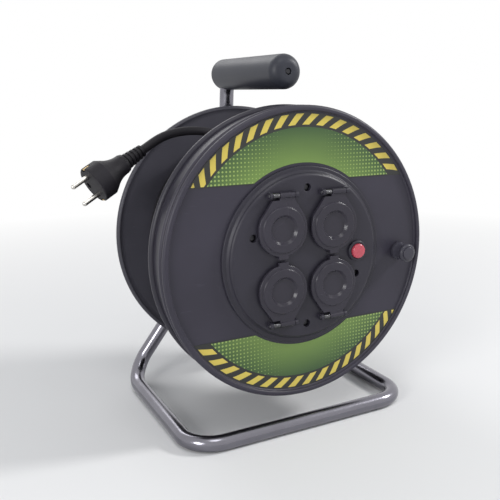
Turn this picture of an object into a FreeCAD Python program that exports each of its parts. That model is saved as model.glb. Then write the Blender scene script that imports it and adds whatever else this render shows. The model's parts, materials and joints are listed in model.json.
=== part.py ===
"""Extension cord reel: a rubber cable on a drum that turns on a tubular steel stand.

Millimetres, +Z up. The drum's axis runs along Y and its sockets face -Y. The geometry is
written in the drum's frame: x and z from the axis, y from the front edge of the front flange,
growing to the rear. save() moves it to the part's frame, whose origin is the middle of the
footprint, at floor level.
"""
import FreeCAD, Part
import math
import os

V = FreeCAD.Vector

# Fits and clearances
RUN_FIT = 0.05
SEAT_GAP = 0.2
MOVE_GAP = 0.4

# Drum: front flange, rear flange and core
FLANGE_RADIUS = 145.0
REAR_FLANGE_RADIUS = 141.5
FLANGE_WALL = 3.0
RIM_WALL = 2.5
BEAD_RADIUS = 3.0
RIM_DEPTH = 44.0
DISC_RECESS = 4.0
COVER_DEPTH = 17.0
COVER_OPENING_RADIUS = 70.0
WINDING_SPACE = 114.0
CORE_RADIUS = 75.0
CORE_WALL = 3.0
REAR_RIB_COUNT = 16
REAR_RIB_DEPTH = 5.0
REAR_RIM_DEPTH = 7.0
REAR_BOSS_RADIUS = 19.0

# Stand: bent tube, upright tube and grip
AXIS_HEIGHT = 180.0
TUBE_RADIUS = 8.0
TUBE_WALL = 1.2
STAND_HALF_WIDTH = 124.0
STAND_FRONT_Y = -6.0
STAND_REAR_Y = 187.0
FLOOR_REAR_Y = 195.0
STAND_BEND_RADIUS = 32.0
TUBE_START_RADIUS = 21.0
CRANK_BEYOND_HUB = 14.0
UPRIGHT_TOP_Y = 176.0
GRIP_RADIUS = 17.0
GRIP_ABOVE_FLANGE = 14.0
GRIP_FRONT_Y = 33.0
GRIP_END_WALL = 6.0
GRIP_REAR_WALL = 3.0
GRIP_FRONT_ROUNDING = 10.0
GRIP_REAR_ROUNDING = 7.0
GRIP_SCREW_HEAD_RADIUS = 3.0
GRIP_SCREW_SINK = 3.0
TUBE_PLUG_LENGTH = 14.0
HANDLE_BEND_RADIUS = 24.0

# Hub of the stand
HUB_DISC_RADIUS = 30.0
HUB_THICKNESS = 28.0
HUB_ARM_RADIUS = 12.0
HUB_ARM_REACH = 54.0
CLAMP_GAP = 0.4
HUB_BOSS_RADIUS = 14.0
HUB_SCREW_INSET = 6.5
NUT_POCKET_RADIUS = 13.0
NUT_POCKET_DEPTH = 8.0
HUB_CAP_THICKNESS = 2.5

# Axle and bearings
AXLE_RADIUS = 8.0
THREAD_RADIUS = 6.0
BUSH_RADIUS = 12.0
BUSH_LENGTH = 16.0
SLEEVE_WALL = 2.5
SLEEVE_FRONT_Y = 70.0
WASHER_THICKNESS = 1.5
CLIP_THICKNESS = 1.5
AXLE_NUT_FLATS = 18.0
AXLE_NUT_THICKNESS = 5.5

# Socket panel
PANEL_RADIUS = 88.0
PANEL_RIM = 3.0
PANEL_FACE_RADIUS = 80.0
PANEL_HEIGHT = 8.0
PANEL_WALL = 3.0
SOCKET_X = 28.5
SOCKET_Z = 30.0

# Sockets with earth pin
INSERT_RADIUS = 22.5
COLLAR_RADIUS = 25.0
COLLAR_PROUD = 1.5
RECESS_RADIUS = 19.5
RECESS_DEPTH = 15.0
SOCKET_FLOOR = 3.0
PIN_SPACING = 19.0
PIN_HOLE_RADIUS = 2.7
EARTH_PIN_RADIUS = 2.4
EARTH_PIN_OFFSET = 10.0
EARTH_PIN_LENGTH = 13.0
SHUTTER_THICKNESS = 2.0
SHUTTER_HALF_WIDTH = 3.2
SHUTTER_REACH = 13.0
BASE_LENGTH = 9.0
CONTACT_LENGTH = 6.5

# Socket lids
LID_RADIUS = 26.0
LID_THICKNESS = 3.2
LID_RING_HEIGHT = 1.4
LID_DISH_DEPTH = 1.2
RING_OUTER = 22.5
RING_INNER = 14.5
LID_TAB_HALF = 5.0
LID_TAB_REACH = 2.5
KNUCKLE_START = 4.0
HINGE_OFFSET = 33.0
KNUCKLE_RADIUS = 3.0
HINGE_PIN_RADIUS = 1.2
HINGE_HALF_LENGTH = 15.0
LUG_WIDTH = 3.0
SEAL_RADIUS = 18.5
SEAL_THICKNESS = 2.7
SEAL_DISH = 1.0
SPRING_WIRE_RADIUS = 0.4
SPRING_TURNS = 6

# Thermal cut-out and its reset button
BUTTON_X = 58.0
BUTTON_RADIUS = 7.5
BUTTON_PROUD = 6.5
BUTTON_TRAVEL = 2.5
BEZEL_RADIUS = 10.5
BEZEL_HEIGHT = 3.0
BUTTON_STEM_RADIUS = 3.5
CUTOUT_WIDTH = 18.0
CUTOUT_HEIGHT = 24.0
CUTOUT_DEPTH = 26.0
CUTOUT_COLLAR_LENGTH = 7.0
CUTOUT_INSET = 12.0
BUTTON_STEM_DEPTH = 5.0

# Winding knob
KNOB_INSET = 28.0
KNOB_Z = -8.0
KNOB_RADIUS = 9.5
KNOB_LENGTH = 18.0
KNOB_CAP_RADIUS = 6.8
KNOB_CAP_HEIGHT = 1.6
SPINDLE_RADIUS = 3.0
SPINDLE_HEAD_RADIUS = 5.0
SPINDLE_HEAD_HEIGHT = 2.5
SPINDLE_END = 6.0
KNOB_NUT_THICKNESS = 4.5
KNOB_NUT_FLATS = 10.0

# Screws
SCREW_RADIUS = 2.0
SCREW_HEAD_RADIUS = 3.5
SCREW_HEAD_HEIGHT = 2.5
PANEL_SCREW_Z = 68.0
PANEL_SCREW_X = 58.0
PANEL_SCREW_SIDE_Z = 24.0
PANEL_SCREW_REACH = 9.0
PANEL_SCREW_RECESS = 3.5
COVER_SCREW_INSET = 17.0
COVER_SCREW_COUNT = 6
COVER_SCREW_TIP_ROOM = 6.0
BOSS_RADIUS = 5.0
BOSS_LENGTH = 12.0
CORE_SCREW_COUNT = 4
REAR_SCREW_REACH = 14.0
HUB_SCREW_REACH = 9.5
HUB_SCREW_RECESS = 0.5
TIP_ROOM = 0.5

# Cable and winding
CABLE_RADIUS = 4.5
GLAND_INSET = 12.0
GLAND_WALL = 2.5
GLAND_LENGTH = 7.0
WINDING_RADIUS = 103.0
WINDING_TURNS = 10
WINDING_PITCH = 9.9
WINDING_FRONT_GAP = 8.0
CORE_PACK_GAP = 0.3
CORE_PACK_SIDE_GAP = 0.5

# Free end of the cable: x, y and z of the points that its route turns at
TAIL_POINTS = [(-24.0, 117.0, 110.0), (-62.0, 117.0, 118.5)]
TAIL_LAST_RUN = 32.0
PLUG_FACE = (-178.0, 95.0, 70.0)
PLUG_DIRECTION = (-0.85, -0.20, -0.48)

# Plug with round face, earth clips and a bend relief
PLUG_RADIUS = 18.5
PLUG_LENGTH = 40.0
PLUG_NECK_RADIUS = 9.0
PLUG_INSERT_RADIUS = 15.5
PLUG_INSERT_DEPTH = 12.0
PLUG_PIN_RADIUS = 2.4
PLUG_PIN_LENGTH = 19.0
PLUG_PIN_ROOT_RADIUS = 2.0
PLUG_PIN_ROOT_LENGTH = 10.0
BOOT_LENGTH = 22.0
BOOT_RINGS = 5

# Places worked out from the sizes above
GRIP_AXIS_Z = FLANGE_RADIUS + GRIP_ABOVE_FLANGE + GRIP_RADIUS
GRIP_REAR_Y = UPRIGHT_TOP_Y + TUBE_RADIUS + GRIP_REAR_WALL
CRANK_REACH = HUB_ARM_REACH + CRANK_BEYOND_HUB
HUB_SCREW_RADIUS = HUB_DISC_RADIUS - HUB_SCREW_INSET
KNOB_X = FLANGE_RADIUS - KNOB_INSET
COVER_SCREW_RADIUS = FLANGE_RADIUS - COVER_SCREW_INSET
REAR_DISC_Y = RIM_DEPTH + WINDING_SPACE
REAR_FLANGE_BACK_Y = REAR_DISC_Y + REAR_RIB_DEPTH + FLANGE_WALL
HUB_FRONT_Y = STAND_REAR_Y - HUB_THICKNESS / 2
HUB_BACK_Y = STAND_REAR_Y + HUB_THICKNESS / 2
REAR_MOST_Y = HUB_BACK_Y + HUB_CAP_THICKNESS
HUB_SCREW_TIP_Y = STAND_REAR_Y - HUB_SCREW_REACH
PANEL_FACE_Y = DISC_RECESS - PANEL_HEIGHT
CUTOUT_FRONT_Y = PANEL_FACE_Y + CUTOUT_INSET
COLLAR_FRONT_Y = PANEL_FACE_Y - COLLAR_PROUD
FLOOR_Y = COLLAR_FRONT_Y + RECESS_DEPTH
SHUTTER_Y = FLOOR_Y + SOCKET_FLOOR + MOVE_GAP
BASE_Y = SHUTTER_Y + SHUTTER_THICKNESS + MOVE_GAP
LID_BACK_Y = COLLAR_FRONT_Y - MOVE_GAP
HINGE_Y = LID_BACK_Y - LID_THICKNESS / 2 - 0.9
GLAND_Y = RIM_DEPTH + GLAND_INSET
KNOB_BACK_Y = DISC_RECESS - MOVE_GAP
KNOB_FRONT_Y = KNOB_BACK_Y - KNOB_LENGTH
FRONT_MOST_Y = KNOB_FRONT_Y - KNOB_CAP_HEIGHT
MID_Y = (FRONT_MOST_Y + REAR_MOST_Y) / 2
GROUND_Z = -(AXIS_HEIGHT - TUBE_RADIUS)
LEG_ANGLE = math.atan2(STAND_HALF_WIDTH, -GROUND_Z)
SOCKETS = [(-SOCKET_X, SOCKET_Z), (SOCKET_X, SOCKET_Z), (SOCKET_X, -SOCKET_Z), (-SOCKET_X, -SOCKET_Z)]


def save(name, shapes):
    """Move solids from the drum's frame to the part's frame and write one STEP file."""
    shapes = shapes if isinstance(shapes, list) else [shapes]
    solids = [s for shape in shapes for s in shape.Solids]
    whole = solids[0] if len(solids) == 1 else Part.Compound(solids)
    whole = whole.copy()
    whole.translate(V(0, -MID_Y, AXIS_HEIGHT))
    if not whole.isValid():
        print("not valid:", name)
    whole.exportStep("parts/" + name + ".step")


def cylinder_y(radius, y0, y1, x=0.0, z=0.0):
    return Part.makeCylinder(radius, y1 - y0, V(x, y0, z), V(0, 1, 0))


def ring_y(outer, inner, y0, y1, x=0.0, z=0.0):
    return cylinder_y(outer, y0, y1, x, z).cut(cylinder_y(inner, y0 - 1, y1 + 1, x, z))


def polar(radius, degrees):
    turn = math.radians(degrees)
    return radius * math.cos(turn), radius * math.sin(turn)


def outline(start, steps):
    """Closed wire in the r-y plane: a step is a point, or a pair (point on the arc, end)."""
    edges = []
    here = V(start[0], start[1], 0)
    for step in list(steps) + [start]:
        if isinstance(step[0], tuple):
            middle = V(step[0][0], step[0][1], 0)
            there = V(step[1][0], step[1][1], 0)
            edges.append(Part.Arc(here, middle, there).toShape())
        else:
            there = V(step[0], step[1], 0)
            if (there - here).Length > 1e-6:
                edges.append(Part.LineSegment(here, there).toShape())
        here = there
    return Part.Wire(edges)


def turned(start, steps, x=0.0, z=0.0):
    """Solid of revolution about a line along Y through (x, z)."""
    solid = Part.Face(outline(start, steps)).revolve(V(0, 0, 0), V(0, 1, 0), 360)
    solid.translate(V(x, 0, z))
    return solid


def bent_wire(points, radius=None):
    """Straight runs joined by tangent arcs. Without a radius each arc takes 0.45 of its
    shorter run. Gives the wire and the arcs' radii."""
    edges = []
    radii = []
    here = points[0]
    for i in range(1, len(points) - 1):
        back = (points[i - 1] - points[i]).normalize()
        ahead = (points[i + 1] - points[i]).normalize()
        half_turn = (math.pi - back.getAngle(ahead)) / 2
        shorter = min((points[i] - points[i - 1]).Length, (points[i + 1] - points[i]).Length)
        trim = 0.45 * shorter if radius is None else radius * math.tan(half_turn)
        bend = trim / math.tan(half_turn)
        start = points[i] + back * trim
        end = points[i] + ahead * trim
        inward = (back + ahead).normalize()
        middle = points[i] + inward * (bend / math.cos(half_turn) - bend)
        edges.append(Part.LineSegment(here, start).toShape())
        edges.append(Part.Arc(start, middle, end).toShape())
        radii.append(bend)
        here = end
    edges.append(Part.LineSegment(here, points[-1]).toShape())
    return Part.Wire(edges), radii


def swept(wire, radius):
    """Round bar along a wire."""
    first = wire.OrderedEdges[0]
    start = first.valueAt(first.FirstParameter)
    heading = first.tangentAt(first.FirstParameter)
    section = Part.Wire(Part.makeCircle(radius, start, heading))
    return wire.makePipeShell([section], True, False)


def tube(points, bend):
    wire, _ = bent_wire(points, bend)
    return swept(wire, TUBE_RADIUS).cut(swept(wire, TUBE_RADIUS - TUBE_WALL))


def screw(head_y, tip_y, x, z, radius=SCREW_RADIUS, head=SCREW_HEAD_RADIUS,
          head_height=SCREW_HEAD_HEIGHT):
    """Pan-head screw along Y, its head's outer face at head_y and its tip at tip_y."""
    way = 1 if tip_y > head_y else -1
    under = head_y + way * head_height
    body = turned((0, under), [(radius, under), (radius, tip_y - way * radius),
                               (radius * 0.3, tip_y), (0, tip_y)], x, z)
    cap = turned((0, head_y), [(head * 0.7, head_y), ((head * 0.93, head_y + way * head_height * 0.3),
                                                       (head, head_y + way * head_height * 0.8)),
                               (head, under), (0, under)], x, z)
    return body.fuse(cap).removeSplitter()


def hexagon_nut(across_flats, y0, y1, bore):
    corner = across_flats / math.sqrt(3)
    points = [V(corner * math.cos(k * math.pi / 3), y0, corner * math.sin(k * math.pi / 3))
              for k in range(7)]
    body = Part.Face(Part.makePolygon(points)).extrude(V(0, y1 - y0, 0))
    return body.cut(cylinder_y(bore, y0 - 1, y1 + 1))


# Drum shell

def cover_screw_places():
    return [polar(COVER_SCREW_RADIUS, 30 + k * 360 / COVER_SCREW_COUNT) for k in range(COVER_SCREW_COUNT)]


def rear_screw_places():
    radius = CORE_RADIUS - CORE_WALL - BOSS_RADIUS
    return [polar(radius, k * 360 / CORE_SCREW_COUNT) for k in range(CORE_SCREW_COUNT)]


def make_cover_screws():
    tip = DISC_RECESS + FLANGE_WALL + COVER_SCREW_TIP_ROOM
    return [screw(RIM_DEPTH + SCREW_HEAD_HEIGHT, tip, x, z) for x, z in cover_screw_places()]


def make_rear_screws():
    head = REAR_DISC_Y + FLANGE_WALL + SCREW_HEAD_HEIGHT
    return [screw(head, REAR_DISC_Y - REAR_SCREW_REACH, x, z) for x, z in rear_screw_places()]


def make_panel_screw_ear(x, z, front, back):
    """Ear in the cover's opening with a post that a screw of the socket panel bites into."""
    reach = COVER_OPENING_RADIUS + BOSS_RADIUS - math.hypot(x, z)
    ear = Part.makeBox(reach, back - front, 2 * BOSS_RADIUS, V(0, front, -BOSS_RADIUS))
    ear.rotate(V(0, 0, 0), V(0, 1, 0), -math.degrees(math.atan2(z, x)))
    ear.translate(V(x, 0, z))
    return ear.fuse(cylinder_y(BOSS_RADIUS, front, back + BOSS_LENGTH, x, z))


def make_front_cover():
    """Front disc with its stepped rim: a lip bead, a groove and a second bead."""
    skirt = FLANGE_RADIUS - BEAD_RADIUS
    second = 2 * BEAD_RADIUS + 3.0
    front = DISC_RECESS
    back = DISC_RECESS + FLANGE_WALL
    inner = skirt - RIM_WALL
    steps = [(inner - 4, back), ((inner - 1.2, back + 1.2), (inner, back + 4)), (inner, COVER_DEPTH),
             (skirt, COVER_DEPTH), (skirt, second + 2 * BEAD_RADIUS)]
    steps.append(((skirt + BEAD_RADIUS, second + BEAD_RADIUS), (skirt, second)))
    steps.append((skirt, 2 * BEAD_RADIUS))
    steps.append(((skirt + BEAD_RADIUS, BEAD_RADIUS), (skirt, 0)))
    steps += [(skirt - 1.5, 0), ((inner + 0.3, 0.6), (inner, 2)), (inner, front - 1.5),
              ((inner - 0.5, front - 0.5), (inner - 1.5, front)), (COVER_OPENING_RADIUS, front)]
    cover = turned((COVER_OPENING_RADIUS, back), steps)
    for x, z in cover_screw_places():
        cover = cover.fuse(cylinder_y(BOSS_RADIUS, back - 0.5, RIM_DEPTH - FLANGE_WALL - SEAT_GAP, x, z))
        cover = cover.cut(cylinder_y(SCREW_RADIUS, back + COVER_SCREW_TIP_ROOM - TIP_ROOM, RIM_DEPTH, x, z))
    for x, z in panel_screw_places():
        cover = cover.fuse(make_panel_screw_ear(x, z, front, back))
        cover = cover.cut(cylinder_y(SCREW_RADIUS, front - 1, back + PANEL_SCREW_REACH + TIP_ROOM, x, z))
    cover = cover.cut(cylinder_y(SPINDLE_RADIUS, 0, COVER_DEPTH, KNOB_X, KNOB_Z))
    return cover.removeSplitter()


def make_front_flange():
    """Rear half of the front flange: skirt, bead and the wall that the cable lies against."""
    skirt = FLANGE_RADIUS - BEAD_RADIUS - 1.0
    inner = skirt - FLANGE_WALL
    wall = RIM_DEPTH - FLANGE_WALL
    start_y = COVER_DEPTH + SEAT_GAP
    steps = [(CORE_RADIUS + RUN_FIT, RIM_DEPTH), (CORE_RADIUS + RUN_FIT, wall), (inner - 4, wall),
             ((inner - 1.2, wall - 1.2), (inner, wall - 4)), (inner, start_y + 3),
             (inner - 2, start_y + 3), (inner - 2, start_y), (skirt, start_y),
             (skirt, RIM_DEPTH - 2 * BEAD_RADIUS - 1),
             ((FLANGE_RADIUS, RIM_DEPTH - BEAD_RADIUS - 0.5), (skirt, RIM_DEPTH))]
    flange = turned((skirt, RIM_DEPTH), steps)
    for x, z in cover_screw_places():
        flange = flange.cut(cylinder_y(SCREW_RADIUS, wall - 1, RIM_DEPTH + 1, x, z))
    return flange


def make_rear_flange():
    """Dished rear disc with a beaded rim, a bearing boss and radial ribs on its back."""
    disc = REAR_DISC_Y
    back = disc + FLANGE_WALL
    rim_back = disc - 1.5 + REAR_RIM_DEPTH
    edge = REAR_FLANGE_RADIUS - BEAD_RADIUS
    mid = disc - 1.5 + REAR_RIM_DEPTH / 2
    bore = BUSH_RADIUS + SLEEVE_WALL + RUN_FIT
    steps = [(bore, disc), (edge - 5, disc), ((edge - 2, disc - 0.5), (edge, disc - 1.5)),
             ((REAR_FLANGE_RADIUS, mid), (edge, rim_back)), (edge - 2, rim_back),
             (edge - 3, back + 1), (edge - 5, back), (REAR_BOSS_RADIUS + 4, back),
             ((REAR_BOSS_RADIUS + 1, back + 1), (REAR_BOSS_RADIUS, back + 4)),
             (REAR_BOSS_RADIUS, REAR_FLANGE_BACK_Y)]
    flange = turned((bore, REAR_FLANGE_BACK_Y), steps)
    rib_start = REAR_BOSS_RADIUS - 2
    rib = Part.makeBox(edge - 4 - rib_start, REAR_RIB_DEPTH - 1.5, 2.4, V(rib_start, back - 0.5, -1.2))
    for k in range(REAR_RIB_COUNT):
        one = rib.copy()
        one.rotate(V(0, 0, 0), V(0, 1, 0), (k + 0.5) * 360 / REAR_RIB_COUNT)
        flange = flange.fuse(one)
    for x, z in rear_screw_places():
        flange = flange.cut(cylinder_y(SCREW_RADIUS, disc - 1, back + 1, x, z))
    return flange.removeSplitter()


def make_drum_core():
    """Hollow barrel that the cable is wound on, with a web round the bearing sleeve."""
    inner = CORE_RADIUS - CORE_WALL
    hole = BUSH_RADIUS + SLEEVE_WALL + RUN_FIT
    web_y = SLEEVE_FRONT_Y + BUSH_LENGTH / 2
    front = RIM_DEPTH - FLANGE_WALL
    steps = [(CORE_RADIUS, REAR_DISC_Y - SEAT_GAP), (inner, REAR_DISC_Y - SEAT_GAP),
             (inner, web_y + CORE_WALL), (hole + 3, web_y + CORE_WALL), (hole + 3, web_y + 10),
             (hole, web_y + 10), (hole, web_y), (inner, web_y), (inner, front)]
    core = turned((CORE_RADIUS, front), steps)
    for x, z in rear_screw_places():
        boss = cylinder_y(BOSS_RADIUS + 1, web_y + CORE_WALL - 0.5, REAR_DISC_Y - SEAT_GAP, x, z)
        bore = cylinder_y(SCREW_RADIUS, REAR_DISC_Y - REAR_SCREW_REACH - BOSS_RADIUS, REAR_DISC_Y, x, z)
        core = core.fuse(boss).cut(bore)
    hole_radius = CABLE_RADIUS + GLAND_WALL
    gland_hole = Part.makeCylinder(hole_radius, 3 * CORE_WALL, V(0, GLAND_Y, inner - CORE_WALL), V(0, 0, 1))
    return core.cut(gland_hole).removeSplitter()


def make_cable_gland():
    """Rubber grommet in the core's wall, where the cable enters the drum."""
    outer = CABLE_RADIUS + GLAND_WALL
    bottom = CORE_RADIUS - CORE_WALL - GLAND_LENGTH
    top = math.sqrt(CORE_RADIUS ** 2 - outer ** 2) - SEAT_GAP
    body = Part.makeCylinder(outer - RUN_FIT, top - bottom, V(0, GLAND_Y, bottom), V(0, 0, 1))
    flange = Part.makeCylinder(outer + 2, 3, V(0, GLAND_Y, bottom), V(0, 0, 1))
    bore = Part.makeCylinder(CABLE_RADIUS, 2 * (top - bottom), V(0, GLAND_Y, bottom - 1), V(0, 0, 1))
    return body.fuse(flange).cut(bore).removeSplitter()


# Axle, bearings and hub of the stand

def make_axle():
    front = SLEEVE_FRONT_Y - WASHER_THICKNESS - CLIP_THICKNESS - 4.5
    shoulder = HUB_BACK_Y - NUT_POCKET_DEPTH
    steps = [(AXLE_RADIUS - 1.5, front), (AXLE_RADIUS, front + 1.5), (AXLE_RADIUS, front + 2.5),
             (AXLE_RADIUS - 1, front + 2.5), (AXLE_RADIUS - 1, front + 2.5 + CLIP_THICKNESS),
             (AXLE_RADIUS, front + 2.5 + CLIP_THICKNESS), (AXLE_RADIUS, shoulder - 1),
             (THREAD_RADIUS, shoulder - 1), (THREAD_RADIUS, HUB_BACK_Y - 0.5), (0, HUB_BACK_Y - 0.5)]
    return turned((0, front), steps)


def make_axle_clip():
    y = SLEEVE_FRONT_Y - WASHER_THICKNESS - CLIP_THICKNESS - 2.0
    clip = ring_y(AXLE_RADIUS + 3, AXLE_RADIUS - 1, y, y + CLIP_THICKNESS)
    gap = Part.makeBox(4, 2 * CLIP_THICKNESS + 2, AXLE_RADIUS + 4, V(-2, y - 1, 0))
    return clip.cut(gap)


def make_axle_washers():
    front_y = SLEEVE_FRONT_Y - WASHER_THICKNESS - 0.25
    rear_y = REAR_FLANGE_BACK_Y + 0.25
    pocket_y = HUB_BACK_Y - NUT_POCKET_DEPTH
    return [ring_y(BUSH_RADIUS + 1, AXLE_RADIUS + RUN_FIT, front_y, front_y + WASHER_THICKNESS),
            ring_y(BUSH_RADIUS + 1, AXLE_RADIUS + RUN_FIT, rear_y, rear_y + WASHER_THICKNESS),
            ring_y(NUT_POCKET_RADIUS - 1, THREAD_RADIUS, pocket_y, pocket_y + WASHER_THICKNESS)]


def make_axle_nut():
    y = HUB_BACK_Y - NUT_POCKET_DEPTH + WASHER_THICKNESS
    return hexagon_nut(AXLE_NUT_FLATS, y, y + AXLE_NUT_THICKNESS, THREAD_RADIUS)


def make_bush(y0, collar_at_front):
    """Flanged bush between the axle and the bearing sleeve."""
    body = ring_y(BUSH_RADIUS, AXLE_RADIUS + RUN_FIT, y0, y0 + BUSH_LENGTH)
    collar_y = y0 if collar_at_front else y0 + BUSH_LENGTH - 1.5
    collar = ring_y(BUSH_RADIUS + 1.2, AXLE_RADIUS + RUN_FIT, collar_y, collar_y + 1.5)
    return body.fuse(collar).removeSplitter()


def make_bearing_sleeve():
    back = REAR_FLANGE_BACK_Y
    sleeve = ring_y(BUSH_RADIUS + SLEEVE_WALL, BUSH_RADIUS, SLEEVE_FRONT_Y, back)
    step = BUSH_RADIUS + 1.2
    sleeve = sleeve.cut(cylinder_y(step, SLEEVE_FRONT_Y - 1, SLEEVE_FRONT_Y + 1.5))
    return sleeve.cut(cylinder_y(step, back - 1.5, back + 1))


def tube_directions():
    """Unit directions from the axis to the upright and along both legs."""
    return [V(0, 0, 1), V(-math.sin(LEG_ANGLE), 0, -math.cos(LEG_ANGLE)),
            V(math.sin(LEG_ANGLE), 0, -math.cos(LEG_ANGLE))]


def hub_screw_places():
    return [polar(HUB_SCREW_RADIUS, 20), polar(HUB_SCREW_RADIUS, 160), polar(HUB_SCREW_RADIUS + 2, 270)]


def make_hub_block():
    """Disc with three short arms round the tubes, bored for the tubes and the axle."""
    block = cylinder_y(HUB_DISC_RADIUS, HUB_FRONT_Y, HUB_BACK_Y)
    middle = V(0, STAND_REAR_Y, 0)
    for way in tube_directions():
        block = block.fuse(Part.makeCylinder(HUB_ARM_RADIUS, HUB_ARM_REACH, middle, way))
    block = block.removeSplitter()
    for way in tube_directions():
        block = block.cut(Part.makeCylinder(TUBE_RADIUS + RUN_FIT, HUB_ARM_REACH + 1,
                                            middle + way * (TUBE_START_RADIUS - 0.5), way))
    block = block.cut(cylinder_y(AXLE_RADIUS + RUN_FIT, HUB_FRONT_Y - 1, HUB_BACK_Y - NUT_POCKET_DEPTH - 1))
    block = block.cut(cylinder_y(THREAD_RADIUS + RUN_FIT, HUB_FRONT_Y, HUB_BACK_Y))
    return block.cut(cylinder_y(NUT_POCKET_RADIUS, HUB_BACK_Y - NUT_POCKET_DEPTH, HUB_BACK_Y + 1))


def make_hub_halves():
    block = make_hub_block()
    reach = HUB_ARM_REACH + 10
    front_keep = Part.makeBox(2 * reach, HUB_THICKNESS, 2 * reach,
                              V(-reach, STAND_REAR_Y - CLAMP_GAP / 2 - HUB_THICKNESS, -reach))
    back_keep = Part.makeBox(2 * reach, HUB_THICKNESS, 2 * reach,
                             V(-reach, STAND_REAR_Y + CLAMP_GAP / 2, -reach))
    boss_front = REAR_FLANGE_BACK_Y + WASHER_THICKNESS + 0.5
    boss = ring_y(HUB_BOSS_RADIUS, AXLE_RADIUS + RUN_FIT, boss_front, HUB_FRONT_Y + 0.5)
    front = block.common(front_keep).fuse(boss).removeSplitter()
    back = block.common(back_keep)
    for x, z in hub_screw_places():
        seat = HUB_BACK_Y - HUB_SCREW_RECESS - SCREW_HEAD_HEIGHT
        front = front.cut(cylinder_y(SCREW_RADIUS, HUB_SCREW_TIP_Y - TIP_ROOM, STAND_REAR_Y + 1, x, z))
        back = back.cut(cylinder_y(SCREW_RADIUS, STAND_REAR_Y - 1, HUB_BACK_Y + 1, x, z))
        back = back.cut(cylinder_y(SCREW_HEAD_RADIUS + 0.3, seat, HUB_BACK_Y + 1, x, z))
    return front, back


def make_hub_screws():
    head = HUB_BACK_Y - HUB_SCREW_RECESS
    return [screw(head, HUB_SCREW_TIP_Y, x, z) for x, z in hub_screw_places()]


def make_hub_cap():
    """Push-in cap over the axle nut, with a spigot ring."""
    spigot = NUT_POCKET_RADIUS - RUN_FIT
    steps = [(NUT_POCKET_RADIUS + 2, HUB_BACK_Y), (NUT_POCKET_RADIUS + 2, HUB_BACK_Y + 0.8),
             ((NUT_POCKET_RADIUS + 0.8, REAR_MOST_Y - 0.5), (NUT_POCKET_RADIUS - 3, REAR_MOST_Y)),
             (0, REAR_MOST_Y), (0, HUB_BACK_Y), (spigot - 1.5, HUB_BACK_Y),
             (spigot - 1.5, HUB_BACK_Y - 3), (spigot, HUB_BACK_Y - 3)]
    return turned((spigot, HUB_BACK_Y), steps)


# Stand tubes and grip

def make_stand_tube():
    """One bent tube: down a leg, forward along the floor, across the front and back up.
    Past the hub each leg is cranked to the rear."""
    w = STAND_HALF_WIDTH
    left, right = tube_directions()[1:]
    hub = V(0, STAND_REAR_Y, 0)
    points = [hub + left * TUBE_START_RADIUS, hub + left * CRANK_REACH, V(-w, FLOOR_REAR_Y, GROUND_Z),
              V(-w, STAND_FRONT_Y, GROUND_Z), V(w, STAND_FRONT_Y, GROUND_Z), V(w, FLOOR_REAR_Y, GROUND_Z),
              hub + right * CRANK_REACH, hub + right * TUBE_START_RADIUS]
    return tube(points, STAND_BEND_RADIUS)


def upright_points():
    """From the hub up, cranked forward, and over the drum into the grip."""
    return [V(0, STAND_REAR_Y, TUBE_START_RADIUS), V(0, STAND_REAR_Y, CRANK_REACH),
            V(0, UPRIGHT_TOP_Y, GRIP_AXIS_Z), V(0, GRIP_FRONT_Y + GRIP_END_WALL, GRIP_AXIS_Z)]


def make_upright_tube():
    return tube(upright_points(), HANDLE_BEND_RADIUS)


def make_grip():
    """Moulded sleeve with rounded ends over the tube and its bend, with a screw hole in front."""
    y0 = GRIP_FRONT_Y
    y1 = GRIP_REAR_Y
    r = GRIP_RADIUS
    front = GRIP_FRONT_ROUNDING
    rear = GRIP_REAR_ROUNDING
    bow = math.sqrt(0.5)
    hole = GRIP_SCREW_HEAD_RADIUS + 0.4
    shank = SCREW_RADIUS + 0.1
    seat = y0 + GRIP_SCREW_SINK
    tube_end = y0 + GRIP_END_WALL - 0.3
    steps = [(r - front, y0), ((r - front + front * bow, y0 + front - front * bow), (r, y0 + front)),
             (r, y1 - rear), ((r - rear + rear * bow, y1 - rear + rear * bow), (r - rear, y1)),
             (0, y1), (0, tube_end), (shank, tube_end), (shank, seat), (hole, seat)]
    sleeve = turned((hole, y0), steps, 0, GRIP_AXIS_Z)
    wire, _ = bent_wire(upright_points(), HANDLE_BEND_RADIUS)
    bore = TUBE_RADIUS + RUN_FIT
    return sleeve.cut(swept(wire, bore)).cut(cylinder_y(bore, tube_end, tube_end + 1, 0, GRIP_AXIS_Z))


def make_tube_plug():
    """Plug pressed into the tube's end, which the grip's screw bites into."""
    y = GRIP_FRONT_Y + GRIP_END_WALL
    inner = TUBE_RADIUS - TUBE_WALL
    return ring_y(inner - RUN_FIT, SCREW_RADIUS, y, y + TUBE_PLUG_LENGTH, 0, GRIP_AXIS_Z)


def make_grip_screw():
    head = GRIP_FRONT_Y + GRIP_SCREW_SINK - SCREW_HEAD_HEIGHT
    tip = GRIP_FRONT_Y + GRIP_END_WALL + TUBE_PLUG_LENGTH - 1
    return screw(head, tip, 0, GRIP_AXIS_Z, SCREW_RADIUS, GRIP_SCREW_HEAD_RADIUS)


# Socket panel

def panel_screw_places():
    return [(0, PANEL_SCREW_Z), (0, -PANEL_SCREW_Z), (PANEL_SCREW_X, -PANEL_SCREW_SIDE_Z),
            (-PANEL_SCREW_X, PANEL_SCREW_SIDE_Z)]


def hinge_side(k):
    """+1 where the hinge of lid k is above the lid, -1 where it is below."""
    return 1 if SOCKETS[k][1] > 0 else -1


def hinge_middle(k):
    """x and z of the middle of lid k's hinge."""
    x, z = SOCKETS[k]
    return x, z + hinge_side(k) * HINGE_OFFSET


def cylinder_x(radius, x0, x1, y, z):
    return Part.makeCylinder(radius, x1 - x0, V(x0, y, z), V(1, 0, 0))


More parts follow.
